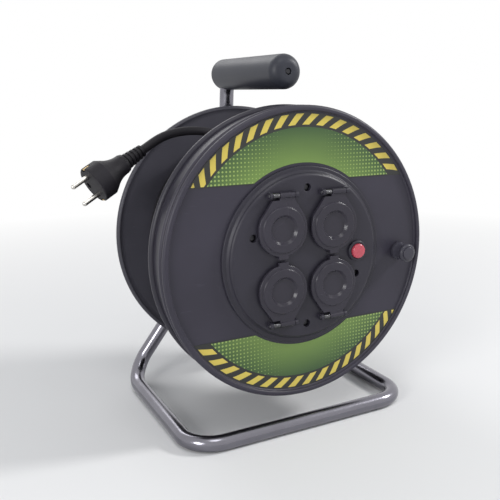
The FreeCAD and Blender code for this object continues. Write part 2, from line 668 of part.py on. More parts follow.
def make_socket_panel():
    """Raised round housing that carries the sockets, the lids' hinge lugs and the button."""
    face = PANEL_FACE_Y
    foot = DISC_RECESS
    r = PANEL_FACE_RADIUS
    steps = [(PANEL_RADIUS, foot), (PANEL_RADIUS, foot - PANEL_RIM + 1),
             ((PANEL_RADIUS - 0.3, foot - PANEL_RIM + 0.3), (PANEL_RADIUS - 1, foot - PANEL_RIM)),
             (r + 4, foot - PANEL_RIM), (r + 2, face + 3), ((r + 0.6, face + 0.8), (r - 2, face)), (0, face),
             (0, face + PANEL_WALL), (r - 2.5, face + PANEL_WALL), (r, face + PANEL_WALL + 2.5)]
    panel = turned((r, foot), steps)
    for x, z in SOCKETS:
        panel = panel.cut(cylinder_y(INSERT_RADIUS + RUN_FIT, face - 1, foot + 1, x, z))
    panel = panel.cut(cylinder_y(BUTTON_RADIUS + 0.7, face - 1, foot + 1, BUTTON_X, 0))
    for x, z in panel_screw_places():
        post = cylinder_y(BOSS_RADIUS, face + 0.5, foot, x, z)
        seat = face + PANEL_SCREW_RECESS + SCREW_HEAD_HEIGHT
        panel = panel.fuse(post).cut(cylinder_y(SCREW_HEAD_RADIUS + 0.4, face - 1, seat, x, z))
        panel = panel.cut(cylinder_y(SCREW_RADIUS + 0.1, face, foot + 1, x, z))
    for k in range(4):
        panel = panel.fuse(make_hinge_lugs(k))
    for k in range(4):
        x, z = hinge_middle(k)
        panel = panel.cut(cylinder_x(HINGE_PIN_RADIUS, x - HINGE_HALF_LENGTH - 1, x + HINGE_HALF_LENGTH + 1,
                                     HINGE_Y, z))
    return panel.removeSplitter()


def make_hinge_lugs(k):
    """Two lugs on the panel's face that hold the hinge pin of lid k."""
    x, z = hinge_middle(k)
    face = PANEL_FACE_Y
    lugs = []
    for start in (x - HINGE_HALF_LENGTH, x + HINGE_HALF_LENGTH - LUG_WIDTH):
        eye = cylinder_x(KNUCKLE_RADIUS, start, start + LUG_WIDTH, HINGE_Y, z)
        foot = Part.makeBox(LUG_WIDTH, face + 1 - HINGE_Y, 2 * KNUCKLE_RADIUS,
                            V(start, HINGE_Y, z - KNUCKLE_RADIUS))
        lugs.append(eye.fuse(foot))
    return lugs


def panel_screws():
    tip = DISC_RECESS + FLANGE_WALL + PANEL_SCREW_REACH
    head = PANEL_FACE_Y + PANEL_SCREW_RECESS
    return [screw(head, tip, x, z) for x, z in panel_screw_places()]


# Sockets

def make_insert(k):
    """Socket body: collar, recess, floor with two pin holes, and a cavity for the shutter."""
    x, z = SOCKETS[k]
    front = COLLAR_FRONT_Y
    back = BASE_Y + BASE_LENGTH - 3
    floor_back = FLOOR_Y + SOCKET_FLOOR
    cavity = INSERT_RADIUS - 2.5
    steps = [(COLLAR_RADIUS, PANEL_FACE_Y), (COLLAR_RADIUS, front + 0.8),
             ((COLLAR_RADIUS - 0.25, front + 0.25), (COLLAR_RADIUS - 0.8, front)),
             (RECESS_RADIUS + 0.8, front),
             ((RECESS_RADIUS + 0.25, front + 0.25), (RECESS_RADIUS, front + 0.8)),
             (RECESS_RADIUS, FLOOR_Y), (0, FLOOR_Y), (0, floor_back), (cavity, floor_back),
             (cavity, back), (INSERT_RADIUS, back)]
    body = turned((INSERT_RADIUS, PANEL_FACE_Y), steps, x, z)
    for side in (-1, 1):
        pin_x = x + side * PIN_SPACING / 2
        body = body.cut(cylinder_y(PIN_HOLE_RADIUS, FLOOR_Y - 1, floor_back + 1, pin_x, z))
    return body.cut(cylinder_y(EARTH_PIN_RADIUS, FLOOR_Y - 1, floor_back + 1, x, z + EARTH_PIN_OFFSET))


def make_socket_base(k):
    """Rear half of a socket, bored for the contact tubes and the earth pin."""
    x, z = SOCKETS[k]
    plug = INSERT_RADIUS - 2.5 - RUN_FIT
    seat = BASE_Y + BASE_LENGTH - 3 + SEAT_GAP
    body = cylinder_y(plug, BASE_Y, seat + 0.5, x, z).fuse(cylinder_y(INSERT_RADIUS, seat, seat + 3, x, z))
    for side in (-1, 1):
        body = body.cut(cylinder_y(PIN_HOLE_RADIUS + 0.6, BASE_Y - 1, BASE_Y + CONTACT_LENGTH + 0.5,
                                   x + side * PIN_SPACING / 2, z))
    body = body.cut(cylinder_y(EARTH_PIN_RADIUS, BASE_Y - 1, seat + 1, x, z + EARTH_PIN_OFFSET))
    return body.cut(cylinder_y(2.0, BASE_Y - 1, BASE_Y + 3, x, z)).removeSplitter()


def make_contacts():
    """Brass contact tubes behind the pin holes, two to a socket."""
    rings = []
    for x, z in SOCKETS:
        for side in (-1, 1):
            rings.append(ring_y(PIN_HOLE_RADIUS + 0.55, PIN_HOLE_RADIUS - 0.25, BASE_Y + 0.3,
                                BASE_Y + CONTACT_LENGTH, x + side * PIN_SPACING / 2, z))
    return rings


def make_earth_pins():
    """Fixed earth pin of each socket, with a rounded tip, held in the socket's base."""
    tip = FLOOR_Y - EARTH_PIN_LENGTH
    r = EARTH_PIN_RADIUS
    root = BASE_Y + BASE_LENGTH - 3
    steps = [(r * 0.4, tip), ((r * 0.86, tip + r * 0.4), (r, tip + r * 1.2)), (r, root), (0, root)]
    return [turned((0, tip), steps, x, z + EARTH_PIN_OFFSET) for x, z in SOCKETS]


def make_shutter(k):
    """Shutter bar that covers both pin holes and turns on a stub in the socket's base."""
    x, z = SOCKETS[k]
    y0 = SHUTTER_Y
    y1 = SHUTTER_Y + SHUTTER_THICKNESS
    bar = Part.makeBox(2 * SHUTTER_REACH, SHUTTER_THICKNESS, 2 * SHUTTER_HALF_WIDTH,
                       V(x - SHUTTER_REACH, y0, z - SHUTTER_HALF_WIDTH))
    bar = bar.common(cylinder_y(SHUTTER_REACH, y0, y1, x, z))
    hub = cylinder_y(5.0, y0, y1, x, z)
    stub = cylinder_y(2.0 - RUN_FIT, y1 - 0.5, BASE_Y + 2.5, x, z)
    return bar.fuse(hub).fuse(stub).removeSplitter()


# Lids

def make_lid(k):
    """Hinged lid: round plate drawn out to its hinge, with a raised ring and a dished middle."""
    x, z = SOCKETS[k]
    hz = hinge_middle(k)[1]
    up = hinge_side(k)
    back = LID_BACK_Y
    front = back - LID_THICKNESS
    ring = front - LID_RING_HEIGHT
    dish = front + LID_DISH_DEPTH
    r = LID_RADIUS
    steps = [(r, back), (r, front + 1), ((r - 0.3, front + 0.3), (r - 1, front)), (RING_OUTER, front),
             ((RING_OUTER - 0.6, ring + 0.3), (RING_OUTER - 2.0, ring)), (RING_INNER, ring),
             (RING_INNER - 2.2, dish), (0, dish)]
    plate = turned((0, back), steps, x, z)
    neck_half = HINGE_HALF_LENGTH - LUG_WIDTH - MOVE_GAP
    inner = z + up * (RING_OUTER - 8)
    wide = math.sqrt(r ** 2 - (RING_OUTER - 8) ** 2) - 0.3
    shoulder = hz - up * (KNUCKLE_RADIUS + 1.6)
    corners = [V(x - wide, front, inner), V(x + wide, front, inner), V(x + neck_half, front, shoulder),
               V(x + neck_half, front, hz), V(x - KNUCKLE_START, front, hz),
               V(x - KNUCKLE_START, front, shoulder), V(x - neck_half, front, shoulder)]
    neck = Part.Face(Part.makePolygon(corners + [corners[0]])).extrude(V(0, back - front, 0))
    ring_room = cylinder_y(RING_OUTER + 0.01, front - 1, back + 1, x, z)
    knuckle = cylinder_x(KNUCKLE_RADIUS - 0.3, x - KNUCKLE_START, x + neck_half, HINGE_Y, hz)
    tab_height = LID_TAB_REACH + 3
    tab_bottom = z - up * (r + LID_TAB_REACH - tab_height / 2) - tab_height / 2
    tab = Part.makeBox(2 * LID_TAB_HALF, back - front, tab_height, V(x - LID_TAB_HALF, front, tab_bottom))
    tab = tab.cut(cylinder_y(r - 1.5, front - 1, back + 1, x, z))
    lid = plate.fuse([neck.cut(ring_room), knuckle, tab]).removeSplitter()
    reach = HINGE_HALF_LENGTH + 5
    return lid.cut(cylinder_x(HINGE_PIN_RADIUS + RUN_FIT, x - reach, x + reach, HINGE_Y, hz))


def make_lid_seal(k):
    """Rubber disc on the lid's back, which plugs the socket's recess."""
    x, z = SOCKETS[k]
    y0 = LID_BACK_Y
    y1 = LID_BACK_Y + SEAL_THICKNESS
    r = SEAL_RADIUS
    dish = y1 - SEAL_DISH
    return turned((0, y0), [(r, y0), (r, y1 - 1), ((r - 0.3, y1 - 0.3), (r - 1, y1)), (r - 3, y1),
                            (r - 4, dish), (0, dish)], x, z)


def make_hinge_pins():
    pins = []
    for k in range(4):
        x, z = hinge_middle(k)
        reach = HINGE_HALF_LENGTH + 0.6
        pins.append(cylinder_x(HINGE_PIN_RADIUS, x - reach, x + reach, HINGE_Y, z))
    return pins


def helix_biarcs(radius, pitch, start_angle, turns, per_turn, place):
    """Edges of a helix as tangent arcs. place(c, s, advance) gives a point's or a vector's
    coordinates from its cosine part, sine part and advance."""
    step = 2 * math.pi / per_turn
    rise = pitch / (2 * math.pi)
    edges = []
    for k in range(int(round(turns * per_turn))):
        a0 = start_angle + k * step
        a1 = a0 + step
        p0 = place(radius * math.cos(a0), radius * math.sin(a0), rise * k * step)
        p1 = place(radius * math.cos(a1), radius * math.sin(a1), rise * (k + 1) * step)
        origin = place(0, 0, 0)
        t0 = (place(-radius * math.sin(a0), radius * math.cos(a0), rise) - origin).normalize()
        t1 = (place(-radius * math.sin(a1), radius * math.cos(a1), rise) - origin).normalize()
        span = p1 - p0
        both = t0 + t1
        a = 2 * (t0.dot(t1) - 1)
        b = -2 * span.dot(both)
        c = span.dot(span)
        reach = (-b - math.sqrt(b * b - 4 * a * c)) / (2 * a)
        q0 = p0 + t0 * reach
        q1 = p1 - t1 * reach
        joint = (q0 + q1) * 0.5
        for first, corner, last in ((p0, q0, joint), (joint, q1, p1)):
            half = (corner - first).getAngle(last - corner) / 2
            weight = math.cos(half)
            middle = (first + last + corner * (2 * weight)) * (1 / (2 + 2 * weight))
            edges.append(Part.Arc(first, middle, last).toShape())
    return edges


def make_lid_springs():
    """Torsion springs round the hinge pins, on the free side of each lid's knuckle."""
    springs = []
    for k in range(4):
        x, z = hinge_middle(k)
        start = x - HINGE_HALF_LENGTH + LUG_WIDTH + 0.7
        length = HINGE_HALF_LENGTH - LUG_WIDTH - 4 - 1.4
        mean = HINGE_PIN_RADIUS + 0.3 + SPRING_WIRE_RADIUS

        def place(c, s, advance, start=start, z=z):
            return V(start + advance, HINGE_Y + c, z + s)

        edges = helix_biarcs(mean, length / SPRING_TURNS, 0, SPRING_TURNS, 2, place)
        springs.append(swept(Part.Wire(edges), SPRING_WIRE_RADIUS))
    return springs


# Reset button

def make_reset_button():
    front = PANEL_FACE_Y - BUTTON_PROUD
    back = PANEL_FACE_Y - 0.5
    r = BUTTON_RADIUS
    end = CUTOUT_FRONT_Y + BUTTON_STEM_DEPTH
    steps = [(r - 2.5, front + 0.35), ((r - 0.7, front + 1.0), (r, front + 2.5)), (r, back),
             (BUTTON_STEM_RADIUS, back), (BUTTON_STEM_RADIUS, end), (0, end)]
    return turned((0, front), steps, BUTTON_X, 0)


def make_button_bezel():
    face = PANEL_FACE_Y
    inner = BUTTON_RADIUS + 0.4
    outer = BEZEL_RADIUS
    front = face - BEZEL_HEIGHT
    steps = [(outer, face), (outer, front + 1.5), ((outer - 0.4, front + 0.4), (outer - 1.5, front)),
             (inner, front)]
    return turned((inner, face), steps, BUTTON_X, 0)


def make_thermal_cutout():
    y0 = CUTOUT_FRONT_Y
    body = Part.makeBox(CUTOUT_WIDTH, CUTOUT_DEPTH, CUTOUT_HEIGHT,
                        V(BUTTON_X - CUTOUT_WIDTH / 2, y0, -CUTOUT_HEIGHT / 2))
    collar = CUTOUT_COLLAR_LENGTH
    body = body.fuse(cylinder_y(BUTTON_STEM_RADIUS + 2.5, y0 - collar, y0 + 1, BUTTON_X, 0))
    bore_end = y0 + BUTTON_STEM_DEPTH + BUTTON_TRAVEL + TIP_ROOM
    bore = cylinder_y(BUTTON_STEM_RADIUS + RUN_FIT, y0 - collar - 1, bore_end, BUTTON_X, 0)
    return body.cut(bore).removeSplitter()


# Winding knob

def make_knob():
    """Turned knob with a waist, a bore for its spindle and a pocket for the spindle's head."""
    y0 = KNOB_FRONT_Y
    y1 = KNOB_BACK_Y
    r = KNOB_RADIUS
    bore = SPINDLE_RADIUS + RUN_FIT
    pocket = y0 + SPINDLE_HEAD_HEIGHT + 0.8
    steps = [(r - 1.5, y1), ((r - 0.4, y1 - 0.4), (r, y1 - 1.5)), (r, y1 - 4),
             ((r - 1.4, (y0 + y1) / 2), (r, y0 + 3)), ((r - 0.6, y0 + 0.6), (r - 2.2, y0)),
             (KNOB_CAP_RADIUS - 1, y0), (KNOB_CAP_RADIUS - 1, pocket),
             (bore, pocket)]
    return turned((bore, y1), steps, KNOB_X, KNOB_Z)


def make_knob_cap():
    y0 = KNOB_FRONT_Y
    r = KNOB_CAP_RADIUS
    back = y0 + 0.5
    steps = [(r, y0), (r, y0 - KNOB_CAP_HEIGHT + 0.8),
             ((r - 0.4, y0 - KNOB_CAP_HEIGHT + 0.25), (r - 1.2, y0 - KNOB_CAP_HEIGHT)),
             (0, y0 - KNOB_CAP_HEIGHT), (0, back), (r - 1 - RUN_FIT, back), (r - 1 - RUN_FIT, y0)]
    return turned(steps[0], steps[1:], KNOB_X, KNOB_Z)


def make_knob_spindle():
    """Shoulder screw that the knob turns on, held to the cover by a nut."""
    head = KNOB_FRONT_Y + 0.8
    under = head + SPINDLE_HEAD_HEIGHT - 0.4
    end = DISC_RECESS + FLANGE_WALL + SPINDLE_END
    steps = [(SPINDLE_HEAD_RADIUS, head), (SPINDLE_HEAD_RADIUS, under), (SPINDLE_RADIUS, under),
             (SPINDLE_RADIUS, end), (0, end)]
    return turned((0, head), steps, KNOB_X, KNOB_Z)


def make_knob_nut():
    y0 = DISC_RECESS + FLANGE_WALL
    nut = hexagon_nut(KNOB_NUT_FLATS, y0, y0 + KNOB_NUT_THICKNESS, SPINDLE_RADIUS)
    nut.translate(V(KNOB_X, 0, KNOB_Z))
    return nut


# Cable, winding and plug

def make_winding_core():
    """Inner layers of the cable as one plain ring on the core."""
    y0 = RIM_DEPTH + CORE_PACK_SIDE_GAP
    y1 = REAR_DISC_Y - CORE_PACK_SIDE_GAP
    return ring_y(WINDING_RADIUS - CABLE_RADIUS - CORE_PACK_GAP, CORE_RADIUS + CORE_PACK_GAP, y0, y1)


def winding_edges():
    """Outer layer's centreline: turns at a steady pitch, with a straight end at each side."""
    y0 = RIM_DEPTH + WINDING_FRONT_GAP

    def place(c, s, advance):
        return V(c, y0 + advance, s)

    edges = helix_biarcs(WINDING_RADIUS, WINDING_PITCH, math.pi / 2, WINDING_TURNS, 2, place)
    first = edges[0].valueAt(edges[0].FirstParameter)
    first_way = edges[0].tangentAt(edges[0].FirstParameter)
    last = edges[-1].valueAt(edges[-1].LastParameter)
    last_way = edges[-1].tangentAt(edges[-1].LastParameter)
    lead_in = Part.LineSegment(first - first_way * (2 * CABLE_RADIUS), first).toShape()
    lead_out = Part.LineSegment(last, last + last_way * (2 * CABLE_RADIUS)).toShape()
    return [lead_in] + edges + [lead_out]


def least_gap(edges, diameter):
    """Least gap between stretches of a tube that lie more than three diameters apart on it."""
    points = []
    travelled = 0.0
    for edge in edges:
        count = max(2, int(edge.Length / 4))
        for i in range(count):
            share = edge.FirstParameter + (edge.LastParameter - edge.FirstParameter) * i / count
            points.append((travelled + edge.Length * i / count, edge.valueAt(share)))
        travelled += edge.Length
    least = 1e9
    for i, (run, point) in enumerate(points):
        for other_run, other in points[i + 1:]:
            if other_run - run > 3 * diameter:
                least = min(least, (point - other).Length - diameter)
    return least


def make_cable_winding():
    edges = winding_edges()
    wire = Part.Wire(edges)
    solid = swept(wire, CABLE_RADIUS)
    expected = math.pi * CABLE_RADIUS ** 2 * wire.Length
    print("winding: length %.0f, volume over section x length %.4f, least gap %.2f"
          % (wire.Length, solid.Volume / expected, least_gap(edges, 2 * CABLE_RADIUS)))
    return solid


def plug_way():
    return V(*PLUG_DIRECTION).normalize()


def plug_back():
    """Point where the cable enters the bend relief."""
    return V(*PLUG_FACE) - plug_way() * (PLUG_LENGTH + BOOT_LENGTH)


def make_cable_tail():
    points = [V(*p) for p in TAIL_POINTS]
    points += [plug_back() - plug_way() * TAIL_LAST_RUN, plug_back()]
    wire, radii = bent_wire(points)
    solid = swept(wire, CABLE_RADIUS)
    expected = math.pi * CABLE_RADIUS ** 2 * wire.Length
    print("tail: length %.0f, radii %s, volume over section x length %.4f"
          % (wire.Length, [round(r) for r in radii], solid.Volume / expected))
    return solid


def plug_frame():
    """Directions across the plug, ahead from its face, and from one pin to the other."""
    ahead = plug_way()
    between = V(0, 1, 0).cross(ahead).normalize()
    return ahead.cross(between), ahead, between


def place_plug(shape):
    """Turn a shape made along +Y, with the plug's face at y = 0, to the plug's place."""
    across, ahead, third = plug_frame()
    face = V(*PLUG_FACE)
    matrix = FreeCAD.Matrix(across.x, ahead.x, third.x, face.x, across.y, ahead.y, third.y, face.y,
                            across.z, ahead.z, third.z, face.z, 0, 0, 0, 1)
    moved = shape.copy()
    moved.Placement = FreeCAD.Placement(matrix).multiply(moved.Placement)
    return moved


def make_plug_body():
    """Moulded grip part: round at the face, drawn in to the neck, with a pocket for the insert."""
    r = PLUG_RADIUS
    neck = PLUG_NECK_RADIUS
    back = -PLUG_LENGTH
    inner = PLUG_INSERT_RADIUS + RUN_FIT
    steps = [(r, -1.5), ((r - 0.4, -0.4), (r - 1.5, 0)), (inner, 0), (inner, -PLUG_INSERT_DEPTH),
             (0, -PLUG_INSERT_DEPTH), (0, back), (neck, back), (neck + 1, back + 3),
             ((neck + 2.4, back + 13), (neck + 6.5, back + 21))]
    body = turned((r, -14), steps)
    for k in range(2):
        side = 1 if k else -1
        slot = Part.makeBox(7, 9, 3.2, V(-3.5, -7.5, side * (r - 1.4) - 1.6))
        body = body.cut(slot)
    return place_plug(body)


def make_plug_insert():
    """Face of the plug that carries the pins, with the hole for a socket's earth pin."""
    face = cylinder_y(PLUG_INSERT_RADIUS, -PLUG_INSERT_DEPTH + SEAT_GAP, 0)
    hole = cylinder_y(EARTH_PIN_RADIUS + 0.5, -PLUG_INSERT_DEPTH + 1.5, 1, EARTH_PIN_OFFSET, 0)
    for side in (-1, 1):
        face = face.cut(cylinder_y(PLUG_PIN_ROOT_RADIUS, -PLUG_PIN_ROOT_LENGTH, 1, 0, side * PIN_SPACING / 2))
    return place_plug(face.cut(hole))


def make_plug_pins():
    r = PLUG_PIN_RADIUS
    tip = PLUG_PIN_LENGTH
    root = PLUG_PIN_ROOT_RADIUS
    end = -PLUG_PIN_ROOT_LENGTH
    steps = [(root, end), (root, 0), (r, 0), (r, tip - r),
             ((r * 0.8, tip - r * 0.4), (r * 0.4, tip)), (0, tip)]
    pins = [turned((0, end), steps, 0, side * PIN_SPACING / 2) for side in (-1, 1)]
    return [place_plug(pin) for pin in pins]


def make_plug_earth_clips():
    """Side earth contacts that lie in the slots at the plug's edge."""
    clips = []
    for side in (-1, 1):
        z = side * (PLUG_RADIUS - 1.4)
        clip = Part.makeBox(5.0, 6.5, 1.2, V(-2.5, -7.0, z - 0.6))
        clips.append(place_plug(clip))
    return clips


def make_plug_boot():
    """Ringed bend relief behind the plug."""
    back = -PLUG_LENGTH - BOOT_LENGTH
    front = -PLUG_LENGTH
    root = PLUG_NECK_RADIUS - 1.0
    tip = CABLE_RADIUS + 1.6
    steps = [(tip, back)]
    pitch = BOOT_LENGTH / BOOT_RINGS
    for k in range(BOOT_RINGS):
        radius = tip + (root - tip) * (k + 0.5) / BOOT_RINGS
        y = back + k * pitch
        steps += [(radius, y + 0.4), (radius, y + pitch - 1.6),
                  (radius - 1.1, y + pitch - 1.4), (radius - 1.1, y + pitch)]
    steps += [(0, front)]
    return place_plug(turned((0, back), steps))


def main():
    os.makedirs("parts", exist_ok=True)
    save("front_cover", make_front_cover())
    save("front_flange", make_front_flange())
    save("rear_flange", make_rear_flange())
    save("drum_core", make_drum_core())
    save("cable_gland", make_cable_gland())
    save("flange_cover_screws", make_cover_screws())
    save("rear_flange_screws", make_rear_screws())
    save("bearing_sleeve", make_bearing_sleeve())
    save("axle_bushes", [make_bush(SLEEVE_FRONT_Y, True), make_bush(REAR_FLANGE_BACK_Y - BUSH_LENGTH, False)])
    save("axle", make_axle())
    save("axle_clip", make_axle_clip())
    save("axle_washers", make_axle_washers())
    save("axle_nut", make_axle_nut())
    hub_front, hub_back = make_hub_halves()
    save("hub_clamp_front", hub_front)
    save("hub_clamp_rear", hub_back)
    save("hub_screws", make_hub_screws())
    save("hub_cap", make_hub_cap())
    save("stand_tube", make_stand_tube())
    save("upright_tube", make_upright_tube())
    save("handle_grip", make_grip())
    save("grip_tube_plug", make_tube_plug())
    save("grip_screw", make_grip_screw())
    save("socket_panel", make_socket_panel())
    save("panel_screws", panel_screws())
    for k in range(4):
        number = str(k + 1)
        save("socket_insert_" + number, make_insert(k))
        save("socket_shutter_" + number, make_shutter(k))
        save("socket_lid_" + number, make_lid(k))
        save("lid_seal_" + number, make_lid_seal(k))
    save("socket_bases", [make_socket_base(k) for k in range(4)])
    save("socket_contacts", make_contacts())
    save("socket_earth_pins", make_earth_pins())
    save("lid_hinge_pins", make_hinge_pins())
    save("lid_springs", make_lid_springs())
    save("reset_button", make_reset_button())
    save("button_bezel", make_button_bezel())
    save("thermal_cutout", make_thermal_cutout())
    save("winding_knob", make_knob())
    save("knob_cap", make_knob_cap())
    save("knob_spindle", make_knob_spindle())
    save("knob_nut", make_knob_nut())
    save("cable_winding_core", make_winding_core())
    save("cable_winding", make_cable_winding())
    save("cable_tail", make_cable_tail())
    save("plug_body", make_plug_body())
    save("plug_insert", make_plug_insert())
    save("plug_pins", make_plug_pins())
    save("plug_earth_clips", make_plug_earth_clips())
    save("plug_bend_relief", make_plug_boot())


main()
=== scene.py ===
"""Looks of the extension cord reel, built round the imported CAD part.

Everything is in metres in the part's frame. A place on the drum is worked out by drum_point(),
which takes x and z from the axis and y from the front edge of the front flange, as the part's
source does.
"""
import json
import math
import bmesh
import bpy
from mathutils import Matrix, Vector


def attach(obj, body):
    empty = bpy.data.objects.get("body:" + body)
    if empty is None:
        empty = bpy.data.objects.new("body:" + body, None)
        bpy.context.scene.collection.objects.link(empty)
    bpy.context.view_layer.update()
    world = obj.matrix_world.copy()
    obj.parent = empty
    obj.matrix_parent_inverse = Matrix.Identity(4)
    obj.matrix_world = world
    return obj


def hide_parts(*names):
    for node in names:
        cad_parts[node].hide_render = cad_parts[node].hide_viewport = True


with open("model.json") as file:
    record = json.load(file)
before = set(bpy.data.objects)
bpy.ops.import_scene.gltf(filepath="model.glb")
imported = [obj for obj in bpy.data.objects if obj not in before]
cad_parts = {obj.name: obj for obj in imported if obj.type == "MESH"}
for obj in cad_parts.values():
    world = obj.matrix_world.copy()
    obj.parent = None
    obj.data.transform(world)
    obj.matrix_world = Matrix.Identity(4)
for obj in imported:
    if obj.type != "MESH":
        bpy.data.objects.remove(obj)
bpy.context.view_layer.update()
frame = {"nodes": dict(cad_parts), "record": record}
nodes = frame["nodes"]

# Drum: places shared with the part's source
MIDDLE_Y = 0.09375
AXIS_HEIGHT = 0.180
RIM_DEPTH = 0.044
WINDING_SPACE = 0.114
CORE_RADIUS = 0.075
DISC_Y = 0.004
LABEL_OUTER_RADIUS = 0.138
LABEL_INNER_RADIUS = 0.091


def drum_point(x, y, z):
    """Place in the frame of a point given from the drum's axis and front edge."""
    return Vector((x, y - MIDDLE_Y, z + AXIS_HEIGHT))


def add_object(name, data):
    """Object of the data, linked into the scene."""
    thing = bpy.data.objects.new(name, data)
    bpy.context.scene.collection.objects.link(thing)
    return thing


def aim(thing, place, target):
    """Puts a camera or lamp at a place, facing the target."""
    thing.location = place
    thing.rotation_mode = "QUATERNION"
    thing.rotation_quaternion = (target - Vector(place)).to_track_quat("-Z", "Y")


# Camera

CAMERA_PLACE = drum_point(-0.3343, -0.5628, 0.1559)
CAMERA_TARGET = drum_point(0, 0.030, 0)
CAMERA_VIEW_DEGREES = 40.0
CAMERA_SENSOR = 36.0
CAMERA_SHIFT_X = -0.08
CAMERA_NEAREST = 0.01
CAMERA_FARTHEST = 20.0


def make_camera():
    """Camera at the photograph's viewing angle, moved aside a little to frame the reel."""
    data = bpy.data.cameras.new("camera")
    camera = add_object("camera", data)
    aim(camera, CAMERA_PLACE, CAMERA_TARGET)
    data.sensor_width = CAMERA_SENSOR
    data.lens = CAMERA_SENSOR / 2 / math.tan(math.radians(CAMERA_VIEW_DEGREES / 2))
    data.shift_x = CAMERA_SHIFT_X
    data.clip_start = CAMERA_NEAREST
    data.clip_end = CAMERA_FARTHEST
    bpy.context.scene.camera = camera


make_camera()


# Cable: its turns on the drum, and its free end

CABLE_RADIUS = 0.0045
SPLINE_ORDER = 3
STEPS_PER_POINT = 6
TUBE_ROUNDNESS = 5


def smooth_curve(name, points, radius):
    """Curve of one open spline with the points as its control points. The tube's radius is the
    points' own, with a bevel of 1, so that the curve's bounding box is that of the tube."""
    data = bpy.data.curves.new(name, "CURVE")
    data.dimensions = "3D"
    spline = data.splines.new("NURBS")
    spline.points.add(len(points) - 1)
    for place, point in zip(spline.points, points):
        place.co = (point[0], point[1], point[2], 1.0)
        place.radius = radius
    spline.order_u = SPLINE_ORDER
    spline.use_endpoint_u = True
    spline.resolution_u = STEPS_PER_POINT
    data.bevel_depth = 1.0
    data.bevel_resolution = TUBE_ROUNDNESS
    data.use_fill_caps = True
    return add_object(name, data)


def route_length(curve):
    """Length of a curve's own line, without its thickness."""
    plain = curve.data.copy()
    plain.bevel_depth = 0
    holder = bpy.data.objects.new("measure", plain)
    mesh = bpy.data.meshes.new_from_object(holder)
    places = [vertex.co for vertex in mesh.vertices]
    total = sum((places[a] - places[b]).length for a, b in (edge.vertices for edge in mesh.edges))
    bpy.data.objects.remove(holder)
    bpy.data.curves.remove(plain)
    bpy.data.meshes.remove(mesh)
    return total


WINDING_RADIUS = 0.103
WINDING_LAYERS = 4
POINTS_PER_TURN = 16
CORE_ROOM = 0.0005
INNER_LAYER_RADIUS = CORE_RADIUS + CABLE_RADIUS + CORE_ROOM
LAYER_STEP = (WINDING_RADIUS - INNER_LAYER_RADIUS) / (WINDING_LAYERS - 1)
TURN_PITCH = 0.00932
SIDE_ROOM = 0.0006
WINDING_START_Y = 0.056
WINDING_FRONT_Y = RIM_DEPTH + CABLE_RADIUS + SIDE_ROOM
WINDING_REAR_Y = RIM_DEPTH + WINDING_SPACE - CABLE_RADIUS - SIDE_ROOM
TURNS_PER_LAYER = (WINDING_REAR_Y - WINDING_FRONT_Y) / TURN_PITCH
FIRST_LAYER_TURNS = (WINDING_REAR_Y - WINDING_START_Y) / TURN_PITCH
LAYER_CHANGE_TURNS = 0.3
TUCK_TURNS = 0.25
TUCK_DEPTH = 0.0085
GLAND_ANGLE = math.pi / 2


def eased(share):
    """0 to 1 as the share goes from 0 to 1, starting and ending gently."""
    return share * share * (3 - 2 * share)


def winding_points():
    """Turns of the whole cable on the core, layer on layer, from the gland to its last turn,
    whose end tucks in under its neighbour. The points lie outside the turns by as much as the
    spline cuts inside them."""
    turns = FIRST_LAYER_TURNS + (WINDING_LAYERS - 1) * TURNS_PER_LAYER
    count = int(turns * POINTS_PER_TURN)
    reach = 1 / math.cos(math.pi / POINTS_PER_TURN)
    points = []
    for i in range(count + 1):
        turn = i / POINTS_PER_TURN
        travelled = turn + TURNS_PER_LAYER - FIRST_LAYER_TURNS
        layer = min(int(travelled / TURNS_PER_LAYER), WINDING_LAYERS - 1)
        along = travelled - layer * TURNS_PER_LAYER
        if layer % 2 == 0:
            y = WINDING_FRONT_Y + along * TURN_PITCH
        else:
            y = WINDING_REAR_Y - along * TURN_PITCH
        rise = min(1.0, along / LAYER_CHANGE_TURNS) if layer else 1.0
        radius = INNER_LAYER_RADIUS + (layer - 1 + eased(rise)) * LAYER_STEP
        left = turns - turn
        if left < TUCK_TURNS:
            radius -= TUCK_DEPTH * (1 - left / TUCK_TURNS)
        radius *= reach
        angle = GLAND_ANGLE + 2 * math.pi * turn
        points.append(drum_point(radius * math.cos(angle), y, radius * math.sin(angle)))
    return points


winding = smooth_curve("cable_on_drum", winding_points(), CABLE_RADIUS)
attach(winding, "drum")
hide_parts("cable_winding_core", "cable_winding")

PLUG_FACE = (-0.178, 0.095, 0.070)
PLUG_WAY = Vector((-0.85, -0.20, -0.48)).normalized()
PLUG_LENGTH = 0.040
BOOT_LENGTH = 0.022
TAIL_EXIT = drum_point(-0.004, 0.117, 0.1040)
TAIL_LAST_RUN = 0.032
TAIL_IN_BOOT = 0.008

# The free end rises from among the turns and bends down into the back of the plug's boot.
boot_back = drum_point(*PLUG_FACE) - PLUG_WAY * (PLUG_LENGTH + BOOT_LENGTH)
tail_points = [
    TAIL_EXIT,
    drum_point(-0.024, 0.117, 0.110),
    drum_point(-0.062, 0.117, 0.1185),
    boot_back - PLUG_WAY * TAIL_LAST_RUN,
    boot_back,
    boot_back + PLUG_WAY * TAIL_IN_BOOT,
]
tail = smooth_curve("cable_free_end", tail_points, CABLE_RADIUS)
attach(tail, "stand")
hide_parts("cable_tail")

tail_length = route_length(tail)
winding_length = route_length(winding)


# Materials

EDGE_ROUNDING = 0.0006
EDGE_SAMPLES = 4
EDGE_WEAR_STARTS = 0.97
EDGE_WEAR_FULL = 0.80
PLASTIC_SPECULAR = 0.30
RUBBER_SPECULAR = 0.25

# Most of a noise lies between these, and more of it is spread out by the steeper pair.
NOISE_LOW = 0.3
NOISE_HIGH = 0.7
STEEP_LOW = 0.35
STEEP_HIGH = 0.65

